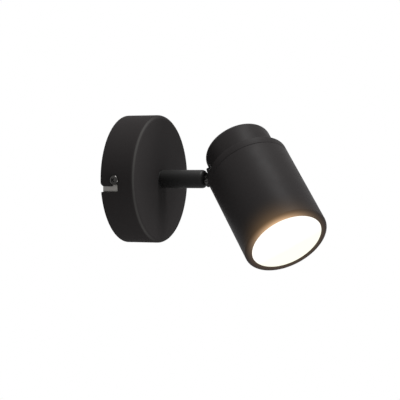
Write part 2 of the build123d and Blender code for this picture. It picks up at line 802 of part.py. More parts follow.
with BuildPart() as lamp_housing:
    with BuildSketch(section(head)):
        with BuildLine():
            Polyline((0, holder_top), (lamp_base_radius, holder_top), (lamp_base_radius, neck_back),
                     (lamp_neck_radius, neck_back), (lamp_radius - collar_step, collar_back - collar_neck),
                     (lamp_radius - collar_step, collar_back), (lamp_radius, collar_back + collar_ramp),
                     (lamp_radius, lamp_front), (lamp_radius - lens_rim, lamp_front),
                     (lamp_radius - lens_rim, lamp_front - lens_thickness),
                     (lamp_radius - lamp_wall - lens_rim, lamp_front - lens_thickness),
                     (lamp_radius - lamp_wall - lens_rim, collar_back),
                     (lamp_neck_radius - lamp_wall, neck_back + lamp_wall),
                     (0, neck_back + lamp_wall), close=True)
        make_face()
    revolve(axis=axis_of(head))
    for index in range(fin_count):
        with BuildSketch(section(turned(head, 360 * index / fin_count))):
            with BuildLine():
                Polyline((lamp_neck_radius - fin_root, neck_back + fin_start),
                         (lamp_neck_radius + fin_foot_height, neck_back + fin_start),
                         (lamp_radius - fin_inset, collar_back - fin_shoulder),
                         (lamp_radius - fin_inset, collar_back - fin_end),
                         (lamp_radius - fin_sink, collar_back - fin_sink_back), close=True)
            make_face()
        extrude(amount=fin_width / 2, both=True)
finish(lamp_housing, "lamp_housing")

with BuildPart() as lamp_lens:
    with BuildSketch(section(head)):
        with BuildLine():
            edge = lamp_radius - lens_rim
            crown = lens_opening_radius - lens_crown_inset
            Line((0, lamp_front - lens_thickness), (edge, lamp_front - lens_thickness))
            Line((edge, lamp_front - lens_thickness), (edge, lamp_front))
            Line((edge, lamp_front), (crown, lamp_front))
            ThreePointArc((crown, lamp_front), dome_middle(crown, lamp_front, lens_crown),
                          (0, lamp_front + lens_crown))
            Line((0, lamp_front + lens_crown), (0, lamp_front - lens_thickness))
        make_face()
    revolve(axis=axis_of(head))
finish(lamp_lens, "lamp_lens")

with BuildPart() as lamp_pins:
    for hand in (-1, 1):
        seat = spot(head, hand * lamp_pin_spacing / 2, 0, holder_top)
        with BuildSketch(seat):
            Circle(lamp_pin_radius)
        extrude(amount=-lamp_pin_length)
        with BuildSketch(seat.offset(-lamp_pin_length)):
            Circle(lamp_pin_head_radius)
        extrude(amount=lamp_pin_head_height)
finish(lamp_pins, "lamp_pins")

pocket_floor = holder_top - lamp_pin_length - contact_thickness
with BuildPart() as lamp_holder:
    with BuildSketch(head.offset(strap_top)):
        Circle(holder_radius)
        with Locations((0, holder_radius), (0, -holder_radius)):
            Rectangle(2 * holder_radius, 5.0, mode=Mode.SUBTRACT)
    extrude(amount=holder_height)
    with BuildSketch(head.offset(holder_top)):
        with Locations((-lamp_pin_spacing / 2, 0), (lamp_pin_spacing / 2, 0)):
            Circle(holder_pocket_radius)
    extrude(amount=pocket_floor - holder_top, mode=Mode.SUBTRACT)
    with BuildSketch(head.offset(strap_top)):
        with Locations((-lamp_pin_spacing / 2, 0), (lamp_pin_spacing / 2, 0)):
            Circle(contact_stem_radius)
    extrude(amount=pocket_floor - strap_top, mode=Mode.SUBTRACT)
finish(lamp_holder, "lamp_holder")

with BuildPart() as holder_contacts:
    for hand in (-1, 1):
        with BuildSketch(head.offset(pocket_floor)):
            with Locations((hand * lamp_pin_spacing / 2, 0)):
                Circle(holder_pocket_radius - 0.3)
        extrude(amount=contact_thickness)
        with BuildSketch(head.offset(strap_top)):
            with Locations((hand * lamp_pin_spacing / 2, 0)):
                Circle(contact_stem_radius)
        extrude(amount=pocket_floor - strap_top)
finish(holder_contacts, "holder_contacts")

with BuildPart() as holder_strap:
    with BuildSketch(head.offset(cover_plate)):
        RectangleRounded(strap_width, 2 * (strap_screw_place + strap_overhang), 2.0)
        with Locations((0, -strap_screw_place), (0, strap_screw_place)):
            Circle(strap_screw_radius, mode=Mode.SUBTRACT)
        with Locations((-lamp_pin_spacing / 2, 0), (lamp_pin_spacing / 2, 0)):
            Circle(lead_hole_radius, mode=Mode.SUBTRACT)
    extrude(amount=strap_thickness)
finish(holder_strap, "holder_strap")

with BuildPart() as strap_screws:
    for hand in (-1, 1):
        seat = spot(head, 0, hand * strap_screw_place, strap_top)
        with BuildSketch(seat):
            Circle(strap_screw_head)
        extrude(amount=strap_screw_head_height, taper=15)
        with BuildSketch(seat):
            Circle(strap_screw_radius)
        extrude(amount=-strap_top)
        with BuildSketch(seat.offset(strap_screw_head_height)):
            Rectangle(recess_span - 0.4, recess_width)
            Rectangle(recess_width, recess_span - 0.4)
        extrude(amount=-recess_depth, mode=Mode.SUBTRACT)
finish(strap_screws, "strap_screws")

# Leads in the head, from the hole under the hinge to the holder's contacts
pin_x = lamp_pin_spacing / 2
live_back = lead_entry_back - lead_pitch / 2
neutral_back = lead_entry_back + lead_pitch / 2
lead([(saddle_radius, 0, -live_back), (pin_x, 0, -live_back), (pin_x, 0, strap_top)], [lead_bend], head,
     "head_live_lead")
lead([(saddle_radius, 0, -neutral_back), (-pin_x, 0, -neutral_back), (-pin_x, 0, strap_top)], [lead_bend],
     head, "head_neutral_lead")

print(len(finished), "pieces")
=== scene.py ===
import json
import math
import bmesh
import bpy
from mathutils import Matrix, Vector


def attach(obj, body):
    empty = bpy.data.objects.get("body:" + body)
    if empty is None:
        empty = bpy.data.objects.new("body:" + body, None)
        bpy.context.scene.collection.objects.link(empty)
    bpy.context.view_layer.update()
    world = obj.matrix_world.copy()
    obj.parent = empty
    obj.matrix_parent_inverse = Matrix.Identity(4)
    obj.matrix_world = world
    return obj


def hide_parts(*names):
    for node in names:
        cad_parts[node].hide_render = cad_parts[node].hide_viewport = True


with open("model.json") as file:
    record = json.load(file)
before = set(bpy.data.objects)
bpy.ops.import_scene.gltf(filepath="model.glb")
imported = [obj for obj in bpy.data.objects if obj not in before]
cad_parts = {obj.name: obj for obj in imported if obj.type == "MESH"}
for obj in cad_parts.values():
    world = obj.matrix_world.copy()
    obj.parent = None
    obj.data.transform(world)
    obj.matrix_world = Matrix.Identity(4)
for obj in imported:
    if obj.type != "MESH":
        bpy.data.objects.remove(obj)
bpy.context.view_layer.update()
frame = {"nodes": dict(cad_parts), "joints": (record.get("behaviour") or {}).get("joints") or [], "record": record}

mm = 0.001
print("frame loaded:", len(frame["nodes"]), "nodes")

# The light is a body of revolution three times over: canopy, arm and head. Each has a stand
# whose z runs along its axis, worked out from the two joints, and profiles are (radius, z) in mm.
photo = {"lens": 139.4, "sensor": 36.0, "azimuth": -65.957, "elevation": 1.069, "distance": 1.0296,
         "target": (0.0190, -0.04259, -0.01403), "clip": 0.05}
pose = {"headTilt": 55.0, "pivotRadius": 27.6, "pivotBack": 4.5}

wayOut = Vector((0, -1, 0))
tiltJoint = next(joint for joint in frame["joints"] if joint["name"] == "head_tilt")
pivot = Vector(tiltJoint["pos_m"])
pinWay = Vector(tiltJoint["axis"])
hangWay = pinWay.cross(wayOut)
tilt = math.radians(pose["headTilt"])
lampWay = wayOut * math.cos(tilt) + hangWay * math.sin(tilt)
hingeWay = hangWay * math.cos(tilt) - wayOut * math.sin(tilt)
headFoot = pivot - hingeWay * pose["pivotRadius"] * mm + lampWay * pose["pivotBack"] * mm


def stand(origin, xWay, zWay):
    yWay = zWay.cross(xWay)
    turn = Matrix((xWay, yWay, zWay)).transposed().to_4x4()
    return Matrix.Translation(origin) @ turn


wallStand = stand(Vector((0, 0, 0)), Vector((1, 0, 0)), wayOut)
armStand = stand(Vector((0, 0, 0)), hangWay, wayOut)
headStand = stand(headFoot, hingeWay, lampWay)


def newPiece(name, mesh):
    piece = bpy.data.objects.new(name, mesh)
    bpy.context.scene.collection.objects.link(piece)
    return piece


def smoothOver(mesh, angle=32):
    mesh.shade_smooth()
    mesh.set_sharp_from_angle(angle=math.radians(angle))


# Points are (radius, z) or (radius, z, rounding); a rounded corner becomes an arc.
def roundedProfile(points, steps):
    outline = []
    count = len(points)
    for index, point in enumerate(points):
        here = Vector(point[:2])
        rounding = point[2] if len(point) > 2 else 0
        if not rounding:
            outline.append(here)
            continue
        before = (Vector(points[index - 1][:2]) - here).normalized()
        after = (Vector(points[(index + 1) % count][:2]) - here).normalized()
        half = before.angle(after) / 2
        reach = rounding / math.tan(half)
        start = here + before * reach
        end = here + after * reach
        centre = here + (before + after).normalized() * rounding / math.sin(half)
        first = (start - centre).normalized()
        last = (end - centre).normalized()
        for step in range(steps + 1):
            outline.append(centre + first.slerp(last, step / steps) * rounding)
    return outline


def domeProfile(radius, base, height, steps):
    sphere = (radius ** 2 + height ** 2) / (2 * height)
    whole = math.asin(radius / sphere)
    return [(sphere * math.sin(whole * (1 - step / steps)),
             base + height - sphere + sphere * math.cos(whole * (1 - step / steps)))
            for step in range(steps)] + [(0, base + height)]


# The outline is spun round z and closed from its last point to its first.
def latheMesh(name, outline, place, around):
    form = bmesh.new()
    rings = []
    for radius, along in outline:
        if radius < 1e-6:
            rings.append([form.verts.new((0, 0, along * mm))])
            continue
        rings.append([form.verts.new((radius * mm * math.cos(2 * math.pi * k / around),
                                      radius * mm * math.sin(2 * math.pi * k / around), along * mm))
                      for k in range(around)])
    for index, ring in enumerate(rings):
        other = rings[(index + 1) % len(rings)]
        if len(ring) == 1 and len(other) == 1:
            continue
        for k in range(around):
            n = (k + 1) % around
            corners = [ring[k % len(ring)], ring[n % len(ring)], other[n % len(other)], other[k % len(other)]]
            corners = [corner for i, corner in enumerate(corners) if corner not in corners[:i]]
            form.faces.new(corners)
    bmesh.ops.recalc_face_normals(form, faces=form.faces)
    form.transform(place)
    mesh = bpy.data.meshes.new(name)
    form.to_mesh(mesh)
    form.free()
    smoothOver(mesh)
    return mesh


def slabMesh(name, outline, bottom, top, place):
    form = bmesh.new()
    face = form.faces.new([form.verts.new((x * mm, y * mm, bottom * mm)) for x, y in outline])
    raised = bmesh.ops.extrude_face_region(form, geom=[face])
    corners = [item for item in raised["geom"] if isinstance(item, bmesh.types.BMVert)]
    bmesh.ops.translate(form, verts=corners, vec=(0, 0, (top - bottom) * mm))
    bmesh.ops.recalc_face_normals(form, faces=form.faces)
    form.transform(place)
    mesh = bpy.data.meshes.new(name)
    form.to_mesh(mesh)
    form.free()
    return mesh


# The piece's modifiers become its mesh, and the piece keeps its name and place.
def settle(piece, angle=32):
    bpy.context.view_layer.update()
    whole = bpy.data.meshes.new_from_object(piece.evaluated_get(bpy.context.evaluated_depsgraph_get()))
    piece.modifiers.clear()
    piece.data = whole
    smoothOver(whole, angle)


def cutOut(piece, *cutters):
    for cutter in cutters:
        cut = piece.modifiers.new("cut", "BOOLEAN")
        cut.operation = "DIFFERENCE"
        cut.solver = "EXACT"
        cut.object = cutter
    settle(piece)
    for cutter in cutters:
        bpy.data.objects.remove(cutter)


def softEdges(piece, width, angle=40):
    bevel = piece.modifiers.new("soft edges", "BEVEL")
    bevel.width = width * mm
    bevel.segments = 2
    bevel.limit_method = "ANGLE"
    bevel.angle_limit = math.radians(angle)
    settle(piece, angle)


def onBody(piece, body, slot, material, *nodes):
    piece.data.materials.clear()
    piece.data.materials.append(material)
    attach(piece, body)
    if nodes:
        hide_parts(*nodes)


# A screen colour, from 0 to 255, in the linear values that Blender works with.
def linearOf(red, green, blue):
    return tuple((c / 255 / 12.92) if c <= 10 else ((c / 255 + 0.055) / 1.055) ** 2.4
                 for c in (red, green, blue)) + (1,)


black = (0, 0, 0, 1)
white = (1, 1, 1, 1)


def newFinish(name, colour, roughness, metallic=0.0, specular=0.5):
    material = bpy.data.materials.new(name)
    material.use_nodes = True
    shader = material.node_tree.nodes["Principled BSDF"]
    shader.inputs["Base Color"].default_value = colour
    shader.inputs["Roughness"].default_value = roughness
    shader.inputs["Metallic"].default_value = metallic
    shader.inputs["Specular IOR Level"].default_value = specular
    return material, material.node_tree, shader


# A value is set on the node itself where it has one by that name, and else on the input.
def addNode(tree, kind, **values):
    node = tree.nodes.new(kind)
    for key, value in values.items():
        if hasattr(node, key):
            setattr(node, key, value)
        else:
            node.inputs[key].default_value = value
    return node


# Another node's output is linked, and anything else is written into the input.
def feed(tree, value, inlet):
    if isinstance(value, bpy.types.NodeSocket):
        tree.links.new(value, inlet)
    else:
        inlet.default_value = value


def combine(tree, operation, *values):
    node = addNode(tree, "ShaderNodeMath", operation=operation)
    for slot, value in enumerate(values):
        feed(tree, value, node.inputs[slot])
    return node.outputs[0]


def vectorMath(tree, operation, *values):
    node = addNode(tree, "ShaderNodeVectorMath", operation=operation)
    for slot, value in enumerate(values):
        feed(tree, value, node.inputs[slot])
    return node


def pointAt(tree, x=0, y=0, z=0):
    node = addNode(tree, "ShaderNodeCombineXYZ")
    for slot, value in enumerate((x, y, z)):
        feed(tree, value, node.inputs[slot])
    return node.outputs[0]


def spread(tree, source, low, high, fromLow, fromHigh):
    ramp = addNode(tree, "ShaderNodeMapRange")
    ramp.inputs["From Min"].default_value = fromLow
    ramp.inputs["From Max"].default_value = fromHigh
    ramp.inputs["To Min"].default_value = low
    ramp.inputs["To Max"].default_value = high
    tree.links.new(source, ramp.inputs["Value"])
    return ramp.outputs["Result"]


def shadeBetween(tree, share, first, second, way="MIX"):
    mix = addNode(tree, "ShaderNodeMix", data_type="RGBA", blend_type=way)
    feed(tree, share, mix.inputs[0])
    feed(tree, first, mix.inputs[6])
    feed(tree, second, mix.inputs[7])
    return mix.outputs[2]


def objectPlace(tree):
    return addNode(tree, "ShaderNodeTexCoord").outputs["Object"]


noiseRange = (0.3, 0.7)


# Noise whose features are about grain millimetres across.
def noiseField(tree, grain, detail=2.0, stretch=None):
    place = objectPlace(tree)
    if stretch:
        mapping = addNode(tree, "ShaderNodeMapping", Scale=stretch)
        tree.links.new(place, mapping.inputs["Vector"])
        place = mapping.outputs["Vector"]
    noise = addNode(tree, "ShaderNodeTexNoise", Scale=1 / (grain * mm), Detail=detail)
    tree.links.new(place, noise.inputs["Vector"])
    return noise.outputs["Fac"]


# The range that most of the noise lies in is brought to low and high.
def noiseTo(tree, field, low, high):
    return spread(tree, field, low, high, *noiseRange)


def raiseBy(tree, shader, field, height):
    bump = addNode(tree, "ShaderNodeBump", Distance=height * mm)
    tree.links.new(field, bump.inputs["Height"])
    tree.links.new(bump.outputs["Normal"], shader.inputs["Normal"])


# The powder coat: for each place a dark and a light shade, which its grain runs between, and the gloss.
# The plate's shades are painted lighter than the head's, as painted light; the arm's are darker.
coat = {"head": (linearOf(36, 34, 34), linearOf(42, 40, 40)), "headGloss": 0.036,
        "plate": (linearOf(39, 37, 37), linearOf(46, 44, 44)), "plateGloss": 0.002,
        "arm": (linearOf(21, 21, 20), linearOf(26, 25, 25)), "armGloss": 0.17,
        "rough": 0.50, "roughSpread": 0.03, "grain": 0.35, "height": 0.010, "cloud": 9.0}


def powderCoat(name, shades, gloss, over=None, glow=None):
    material, tree, shader = newFinish(name, shades[0], coat["rough"], specular=gloss)
    grain = noiseField(tree, coat["grain"], detail=3.0)
    cloud = noiseField(tree, coat["cloud"], detail=1.0)
    colour = shadeBetween(tree, noiseTo(tree, grain, 0, 1), *shades)
    if over:
        colour = over(tree, colour)
    tree.links.new(colour, shader.inputs["Base Color"])
    tree.links.new(noiseTo(tree, cloud, coat["rough"] - coat["roughSpread"], coat["rough"] + coat["roughSpread"]),
                   shader.inputs["Roughness"])
    raiseBy(tree, shader, grain, coat["height"])
    if glow:
        glow(tree, shader)
    return material


metal = {"grain": 0.6, "height": 0.002, "roughSpread": 0.15}


def metalFinish(name, colour, lighter, roughness, stretch=None):
    material, tree, shader = newFinish(name, colour, roughness, metallic=1.0)
    field = noiseField(tree, metal["grain"], stretch=stretch)
    tree.links.new(shadeBetween(tree, noiseTo(tree, field, 0, 1), colour, lighter), shader.inputs["Base Color"])
    tree.links.new(noiseTo(tree, field, roughness * (1 - metal["roughSpread"]),
                           roughness * (1 + metal["roughSpread"])), shader.inputs["Roughness"])
    raiseBy(tree, shader, field, metal["height"])
    return material


plastic = {"grain": 0.8, "height": 0.004, "shade": 0.9}


def plasticFinish(name, colour, roughness, specular=0.5):
    material, tree, shader = newFinish(name, colour, roughness, specular=specular)
    field = noiseField(tree, plastic["grain"])
    darker = tuple(c * plastic["shade"] for c in colour[:3]) + (1,)
    tree.links.new(shadeBetween(tree, noiseTo(tree, field, 0, 1), darker, colour), shader.inputs["Base Color"])
    raiseBy(tree, shader, field, plastic["height"])
    return material


# The canopy, a round cup with an L-shaped slot in each side.
canopySize = {"radius": 42.0, "depth": 23.7, "wall": 1.2, "edge": 2.6, "hole": 4.65, "lip": 0.25, "around": 288}
# The canopy's painted light: a lighter face and a painted highlight line on the left of the front edge.
canopyLook = {"face": linearOf(53, 51, 51), "faceShare": 0.8, "faceFrom": 22.9, "faceTo": 23.65,
              "line": linearOf(64, 63, 62), "highlightFrom": 63.88, "highlightTo": 64.14, "leftFrom": -2.0, "leftTo": -24.0}
slotSize = {"offset": 0.55, "width": 3.5, "lock": 4.4, "reach": 12.0, "entry": 5.8, "upper": 2.9, "lower": 1.0,
            "back": -3.0, "corner": 0.5, "cutFrom": 30, "cutTo": 50}


# Two shades of painted light are written into the coat, not lit: the face is painted lighter, and a painted
# highlight runs as a line on the left of the front edge, where radius and depth add up to the most.
def canopyPaintedLight(tree, colour):
    look = canopyLook
    parts = addNode(tree, "ShaderNodeSeparateXYZ")
    tree.links.new(objectPlace(tree), parts.inputs[0])
    across, depth, up = parts.outputs["X"], parts.outputs["Y"], parts.outputs["Z"]
    radius = vectorMath(tree, "LENGTH", pointAt(tree, x=across, z=up)).outputs["Value"]
    edge = spread(tree, combine(tree, "SUBTRACT", radius, depth), 0, 1, look["highlightFrom"] * mm, look["highlightTo"] * mm)
    left = spread(tree, across, 0, 1, look["leftFrom"] * mm, look["leftTo"] * mm)
    face = spread(tree, combine(tree, "MULTIPLY", depth, -1), 0, 1, look["faceFrom"] * mm, look["faceTo"] * mm)
    colour = shadeBetween(tree, combine(tree, "MULTIPLY", face, look["faceShare"]), colour, look["face"])
    return shadeBetween(tree, combine(tree, "MULTIPLY", edge, left), colour, look["line"])


def sweep(first, whole, steps):
    return [first + whole * step / steps for step in range(steps + 1)]


def slotOutline():
    size = slotSize
    near = size["entry"] - size["width"] / 2
    far = size["entry"] + size["width"] / 2
    half = size["lock"] / 2
    centre = size["reach"] - half
    corner = size["corner"]
    roundEnd = [(half * math.cos(turn), centre + half * math.sin(turn))
                for turn in sweep(math.pi / 2, math.pi, 10)]
    mouthNear = [(near - size["upper"] * (1 - math.sin(turn)), size["upper"] * (1 - math.cos(turn)))
                 for turn in sweep(0, math.pi / 2, 8)]
    mouthFar = [(far + size["lower"] * (1 - math.cos(turn)), size["lower"] * (1 - math.sin(turn)))
                for turn in sweep(0, math.pi / 2, 6)]
    return (roundEnd + [(near - corner, centre - half), (near, centre - half - corner)] + mouthNear[::-1]
            + [(near - size["upper"], size["back"]), (far + size["lower"], size["back"])] + mouthFar[::-1]
            + [(far, size["reach"] - corner), (far - corner, size["reach"])])


def makeCanopy(material):
    size = canopySize
    outer = size["radius"]
    inner = outer - size["wall"]
    front = size["depth"]
    outline = roundedProfile([(size["hole"], front), (outer, front, size["edge"]), (outer, 0, size["lip"]),
                              (inner, 0, size["lip"]), (inner, front - size["wall"], size["edge"] - size["wall"]),
                              (size["hole"], front - size["wall"])], steps=8)
    piece = newPiece("canopyShell", latheMesh("canopyShell", outline, wallStand, size["around"]))
    cutters = []
    for hand in (-1, 1):
        across = Vector((hand, 0, 0))
        entryWay = Vector((0, 0, hand))
        place = Matrix.Translation(entryWay * slotSize["offset"] * mm) @ Matrix(
            (entryWay, wayOut, across)).transposed().to_4x4()
        cutters.append(newPiece("slotCutter", slabMesh("slotCutter", slotOutline(), slotSize["cutFrom"],
                                                       slotSize["cutTo"], place)))
    cutOut(piece, *cutters)
    onBody(piece, "wall_base", "black_coat", material, "canopy")


# A Geometry Nodes tree that puts a shape on points and makes it real.
def instanceTree(name, sizes, makePoints):
    tree = bpy.data.node_groups.new(name, "GeometryNodeTree")
    face = tree.interface
    face.new_socket("Geometry", in_out="INPUT", socket_type="NodeSocketGeometry")
    face.new_socket("Geometry", in_out="OUTPUT", socket_type="NodeSocketGeometry")
    sockets = {"Shape": face.new_socket("Shape", in_out="INPUT", socket_type="NodeSocketObject").identifier,
               "Finish": face.new_socket("Finish", in_out="INPUT", socket_type="NodeSocketMaterial").identifier}
    for size in sizes:
        sockets[size] = face.new_socket(size, in_out="INPUT", socket_type="NodeSocketFloat").identifier
    inlet = tree.nodes.new("NodeGroupInput")
    outlet = tree.nodes.new("NodeGroupOutput")
    points, turns = makePoints(tree, inlet)
    shape = tree.nodes.new("GeometryNodeObjectInfo")
    place = tree.nodes.new("GeometryNodeInstanceOnPoints")
    real = tree.nodes.new("GeometryNodeRealizeInstances")
    finish = tree.nodes.new("GeometryNodeSetMaterial")
    join = tree.links.new
    join(inlet.outputs["Shape"], shape.inputs["Object"])
    join(points, place.inputs["Points"])
    join(shape.outputs["Geometry"], place.inputs["Instance"])
    join(turns, place.inputs["Rotation"])
    join(place.outputs["Instances"], real.inputs["Geometry"])
    join(real.outputs["Geometry"], finish.inputs["Geometry"])
    join(inlet.outputs["Finish"], finish.inputs["Material"])
    join(finish.outputs["Geometry"], outlet.inputs["Geometry"])
    return tree, sockets


# An empty mesh carries the tree; what it grows is turned to the stand and kept as a plain mesh.
def growPattern(name, pattern, shape, material, place, **sizes):
    tree, sockets = pattern
    piece = newPiece(name, bpy.data.meshes.new(name))
    grower = piece.modifiers.new("grow", "NODES")
    grower.node_group = tree
    grower[sockets["Shape"]] = shape
    grower[sockets["Finish"]] = material
    for key, value in sizes.items():
        grower[sockets[key]] = float(value)
    settle(piece)
    piece.data.transform(place)
    bpy.data.objects.remove(shape)
    return piece


# Two points, and a hand for each: -1 for the first and 1 for the second.
def handedPoints(tree):
    line = tree.nodes.new("GeometryNodeMeshLine")
    line.inputs["Count"].default_value = 2
    index = tree.nodes.new("GeometryNodeInputIndex")
    return line.outputs["Mesh"], combine(tree, "MULTIPLY_ADD", index.outputs[0], 2, -1)


def placed(tree, points, spot, outwards):
    put = tree.nodes.new("GeometryNodeSetPosition")
    tree.links.new(points, put.inputs["Geometry"])
    tree.links.new(spot, put.inputs["Position"])
    align = addNode(tree, "FunctionNodeAlignRotationToVector", axis="Z")
    tree.links.new(outwards, align.inputs["Vector"])
    return put.outputs["Geometry"], align.outputs["Rotation"]


# Two points that face away from each other across the axis, each off the level by its hand.
def acrossPoints(tree, inlet):
    points, hand = handedPoints(tree)
    spot = pointAt(tree, combine(tree, "MULTIPLY", hand, inlet.outputs["Radius"]),
                   combine(tree, "MULTIPLY", hand, inlet.outputs["Offset"]), inlet.outputs["Depth"])
    return placed(tree, points, spot, pointAt(tree, x=hand))


# Two points on a cylinder, an angle each side of x, that face out from its axis.
def aroundPoints(tree, inlet):
    points, hand = handedPoints(tree)
    angle = combine(tree, "MULTIPLY", hand, inlet.outputs["Angle"])
    cosine = combine(tree, "COSINE", angle)
    sine = combine(tree, "SINE", angle)
    spot = pointAt(tree, combine(tree, "MULTIPLY", cosine, inlet.outputs["Radius"]),
                   combine(tree, "MULTIPLY", sine, inlet.outputs["Radius"]), inlet.outputs["Level"])
    return placed(tree, points, spot, pointAt(tree, cosine, sine))


# The two screws that hold the canopy: pan heads with a cross recess.
screwSize = {"shank": 1.5, "length": 7.0, "tipBevel": 0.3, "tipLength": 0.4, "head": 3.0, "height": 2.2, "rim": 0.7,
             "rimBevel": 0.15, "recess": 3.5, "width": 0.8, "depth": 1.4, "bladeEnd": 0.45, "bladeRise": 1.4,
             "soft": 0.07, "softAngle": 35, "place": 9.8, "around": 64}


# The screw stands on z = 0 with its shank below.
def panHeadMesh(name, size):
    head, shank, end = size["head"], size["shank"], -size["length"]
    outline = [(0, end), (shank - size["tipBevel"], end), (shank, end + size["tipLength"]), (shank, 0),
               (head - size["rimBevel"], 0), (head, size["rimBevel"]), (head, size["rim"])]
    outline += domeProfile(head, size["rim"], size["height"] - size["rim"], steps=10)[1:]
    body = newPiece(name, latheMesh(name, outline, Matrix.Identity(4), size["around"]))
    half = size["recess"] / 2
    inner = half * size["bladeEnd"]
    floor = size["height"] - size["depth"]
    top = floor + size["depth"] * size["bladeRise"]
    cutters = []
    for angle in (45, 135):
        upright = Matrix.Rotation(math.radians(angle), 4, "Z") @ Matrix.Rotation(math.pi / 2, 4, "X")
        blade = [(-half, top), (-inner, floor), (inner, floor), (half, top)]
        cutters.append(newPiece("blade", slabMesh("blade", blade, -size["width"] / 2, size["width"] / 2, upright)))
    cutOut(body, *cutters)
    softEdges(body, size["soft"], size["softAngle"])
    return body


def makeSideScrews(material):
    shape = panHeadMesh("sideScrewShape", screwSize)
    pattern = instanceTree("sideScrewPattern", ["Radius", "Offset", "Depth"], acrossPoints)
    piece = growPattern("sideScrews", pattern, shape, material, wallStand, Radius=canopySize["radius"] * mm,
                        Offset=slotSize["offset"] * mm, Depth=screwSize["place"] * mm)
    onBody(piece, "wall_base", "dark_nickel", material, "canopy_screws")


# The arm, a tube with a closed tip and a hole in it for the leads.
armSize = {"radius": 6.0, "foot": 24.1, "reach": 55.3, "tip": 2.5, "bevel": 0.5, "bore": 3.0, "endWall": 5.0,
           "thread": 4.0, "grip": 8.0, "exit": 1.5, "exitPlace": -1.2, "overrun": 1.0, "around": 128,
           "exitAround": 32}


def makeArm(material):
    size = armSize
    foot, reach, radius = size["foot"], size["reach"], size["radius"]
    threadEnd = foot + size["grip"]
    boreEnd = reach - size["endWall"]
    outline = roundedProfile([(size["thread"], foot), (radius, foot, size["bevel"]), (radius, reach, size["tip"]),
                              (0, reach), (0, boreEnd), (size["bore"], boreEnd), (size["bore"], threadEnd),
                              (size["thread"], threadEnd)], steps=8)
    piece = newPiece("armTube", latheMesh("armTube", outline, armStand, size["around"]))
    exitFrom, exitTo = boreEnd - size["overrun"], reach + size["overrun"]
    exitPlace = armStand @ Matrix.Translation((size["exitPlace"] * mm, 0, 0))
    hole = latheMesh("exitCutter", [(0, exitFrom), (size["exit"], exitFrom), (size["exit"], exitTo), (0, exitTo)],
                     exitPlace, size["exitAround"])
    cutOut(piece, newPiece("exitCutter", hole))
    onBody(piece, "arm", "black_coat", material, "arm_tube")


# The head: a tube that holds the lamp, the cover with its band behind it, and the cap.
headSize = {"radius": 27.5, "wall": 1.5, "length": 66.2, "front": 2.5, "lip": 0.8, "inside": 1.0, "bevel": 0.25,
            "band": 5.2, "seam": 0.3, "plate": 2.5, "spigot": 2.8, "opening": 14.0, "around": 256}
capSize = {"radius": 22.5, "length": 19.6, "wall": 1.5, "edge": 3.8}
lensSize = {"opening": 23.3, "radius": 24.1, "thickness": 1.6, "crown": 0.4, "inset": 0.3, "around": 192}
# Painted glow on the tube near the rim, written as emission, brighter towards one side.
glowLook = {"side": (-0.62, 0.02, 0.42), "turn": 8.0,
            "colour": (0.14, 0.082, 0.035, 1), "reach": 22.0, "power": 3.2, "least": 0.02,
            "rimColour": (1.25, 0.78, 0.44, 1), "rimFrom": 4.0, "rimTo": 2.0, "rimPower": 1.2, "rimLeast": 0.04}
lensLook = {"base": (0.08, 0.08, 0.07, 1), "rough": 0.35, "gloss": 0.1,
            "white": (1.15, 1.12, 1.05, 1), "cream": (1.02, 1.02, 0.86, 1), "from": 0.0, "to": 9.0}


# The place measured from the head's shoulder, and how far it lies along the head's axis, in metres.
def alongHead(tree):
    away = vectorMath(tree, "SUBTRACT", objectPlace(tree), headFoot).outputs[0]
    return away, vectorMath(tree, "DOT_PRODUCT", away, lampWay).outputs["Value"]


# How far a place lies towards the glow's brighter side, square to the head's axis.
def towardsGlow(tree, away, hand=1):
    side = Vector(glowLook["side"]) * hand
    side = (side - lampWay * side.dot(lampWay)).normalized()
    return vectorMath(tree, "DOT_PRODUCT", away, side).outputs["Value"]


# Painted glow of the lamp's light, as emission on the tube's side near the rim and on the rim, brighter on one
# side.
def glowOnTube(tree, shader):
    look = glowLook
    away, along = alongHead(tree)
    end = headSize["length"]
    reach = headSize["radius"] * mm
    turn = combine(tree, "POWER", spread(tree, towardsGlow(tree, away), 0, 1, -reach, reach), look["turn"])
    onAxis = addNode(tree, "ShaderNodeVectorMath", operation="SCALE")
    onAxis.inputs[0].default_value = lampWay
    tree.links.new(along, onAxis.inputs["Scale"])
    across = vectorMath(tree, "DISTANCE", away, onAxis.outputs[0]).outputs["Value"]
    near = combine(tree, "POWER", spread(tree, along, 0, 1, (end - look["reach"]) * mm, end * mm), look["power"])
    inwards = combine(tree, "POWER", spread(tree, across, 0, 1, reach, lensSize["opening"] * mm), look["rimPower"])
    inwards = combine(tree, "MULTIPLY", inwards,
                      spread(tree, along, 0, 1, (end - look["rimFrom"]) * mm, (end - look["rimTo"]) * mm))
    glows = []
    for amount, least, colour in ((near, look["least"], look["colour"]),
                                  (inwards, look["rimLeast"], look["rimColour"])):
        share = combine(tree, "MULTIPLY", amount, spread(tree, turn, least, 1, 0, 1))
        glows.append(shadeBetween(tree, share, black, colour))
    tree.links.new(shadeBetween(tree, 1, *glows, way="ADD"), shader.inputs["Emission Color"])
    shader.inputs["Emission Strength"].default_value = 1.0


def litLens(name):
    look = lensLook
    material, tree, shader = newFinish(name, look["base"], look["rough"], specular=look["gloss"])
    away, along = alongHead(tree)
    cream = spread(tree, towardsGlow(tree, away, -1), 0, 1, look["from"] * mm, look["to"] * mm)
    tree.links.new(shadeBetween(tree, cream, look["white"], look["cream"]), shader.inputs["Emission Color"])
    shader.inputs["Emission Strength"].default_value = 1.0
    return material


def makeTurned(name, outline, around, slot, material, node):
    onBody(newPiece(name, latheMesh(name, outline, headStand, around)), "head", slot, material, node)


